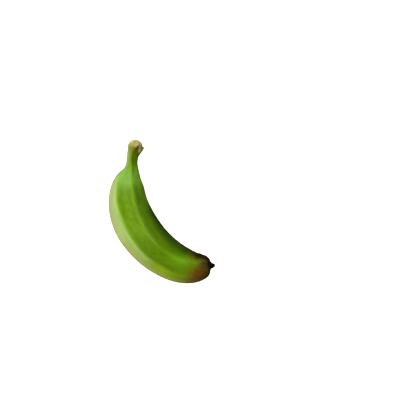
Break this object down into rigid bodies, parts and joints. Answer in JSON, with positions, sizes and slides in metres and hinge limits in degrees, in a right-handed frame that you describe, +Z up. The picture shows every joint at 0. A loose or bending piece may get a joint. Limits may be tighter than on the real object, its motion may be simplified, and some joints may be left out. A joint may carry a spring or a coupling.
{
  "type": "baby banana",
  "caption": "Unripe green baby banana: a bent, ridged fruit with a torn corky stem end and a dark dried blossom tip, lying on its side on a small flat spot.",
  "frame": {"origin": "under the middle of the fruit's box, on the surface that it lies on", "axes": "+Z up from the surface; the bend lies level, with the stem end pointing to +Y and the blossom end to +X, and the outer curve facing -X and -Y"},
  "size_m": [0.0682, 0.0926, 0.0259],
  "materials": {
    "peel": "satin green peel, yellow-green on the outer face, tan cork at the stem end, brown to black at the blossom end"
  },
  "bodies": {
    "root": {"baby_banana": "peel"}
  },
  "joints": []
}
